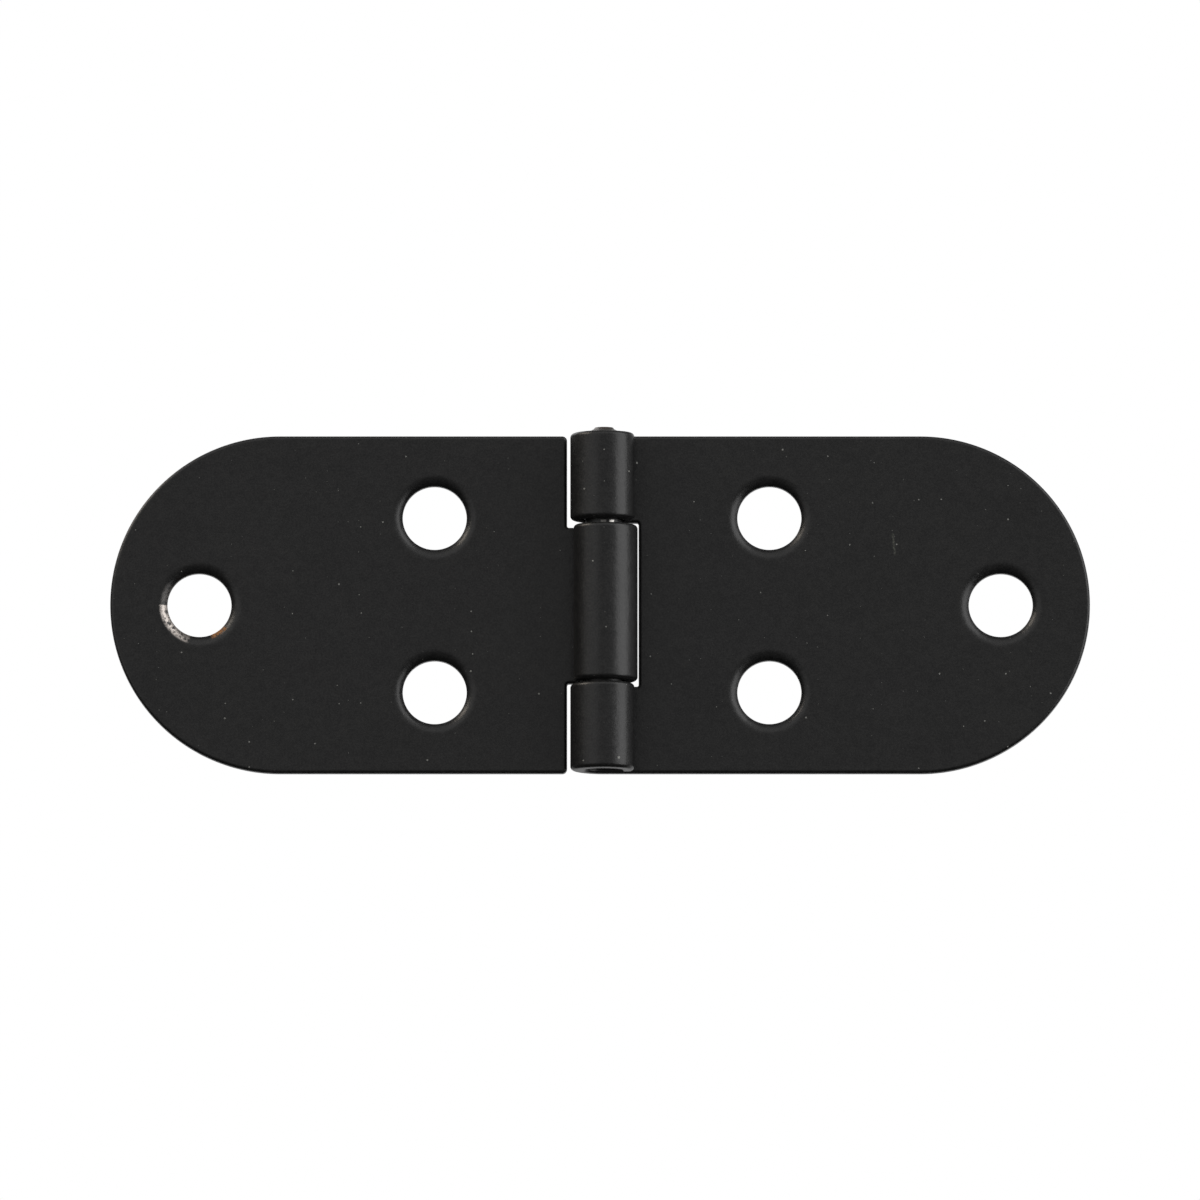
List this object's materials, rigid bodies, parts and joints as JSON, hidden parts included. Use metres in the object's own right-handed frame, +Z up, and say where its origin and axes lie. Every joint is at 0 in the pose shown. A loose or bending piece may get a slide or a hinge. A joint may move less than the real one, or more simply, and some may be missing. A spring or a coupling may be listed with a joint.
{
  "type": "door hinge",
  "caption": "Open flat door hinge of stamped steel: half-round leaves with countersunk screw holes and rolled knuckles on a plain wire pin.",
  "frame": {"origin": "on the pin's axis, half way up the leaves; the middle of the whole hinge's box to within 0.4 mm", "axes": "+Z up along the pin, +X from the pin towards the tip of the fixed leaf when the hinge lies open, +Y out of the leaves' flat backs, so the countersunk faces and the barrel face -Y"},
  "size_m": [0.101, 0.007, 0.0356],
  "materials": {
    "black_coated_steel": "thin matt black baked coat over stamped sheet steel, with rounded edges",
    "pin_steel": "bare drawn steel wire, sheared ends slightly browned"
  },
  "bodies": {
    "fixed_leaf": {"right_leaf": "black_coated_steel", "hinge_pin": "pin_steel"},
    "moving_leaf": {"left_leaf": "black_coated_steel"}
  },
  "joints": [
    {"name": "leaf_swing", "type": "hinge", "parent": "fixed_leaf", "child": "moving_leaf", "pos_m": [0, 0, 0], "axis": [0, 0, 1], "range_deg": [-90, 180]}
  ]
}
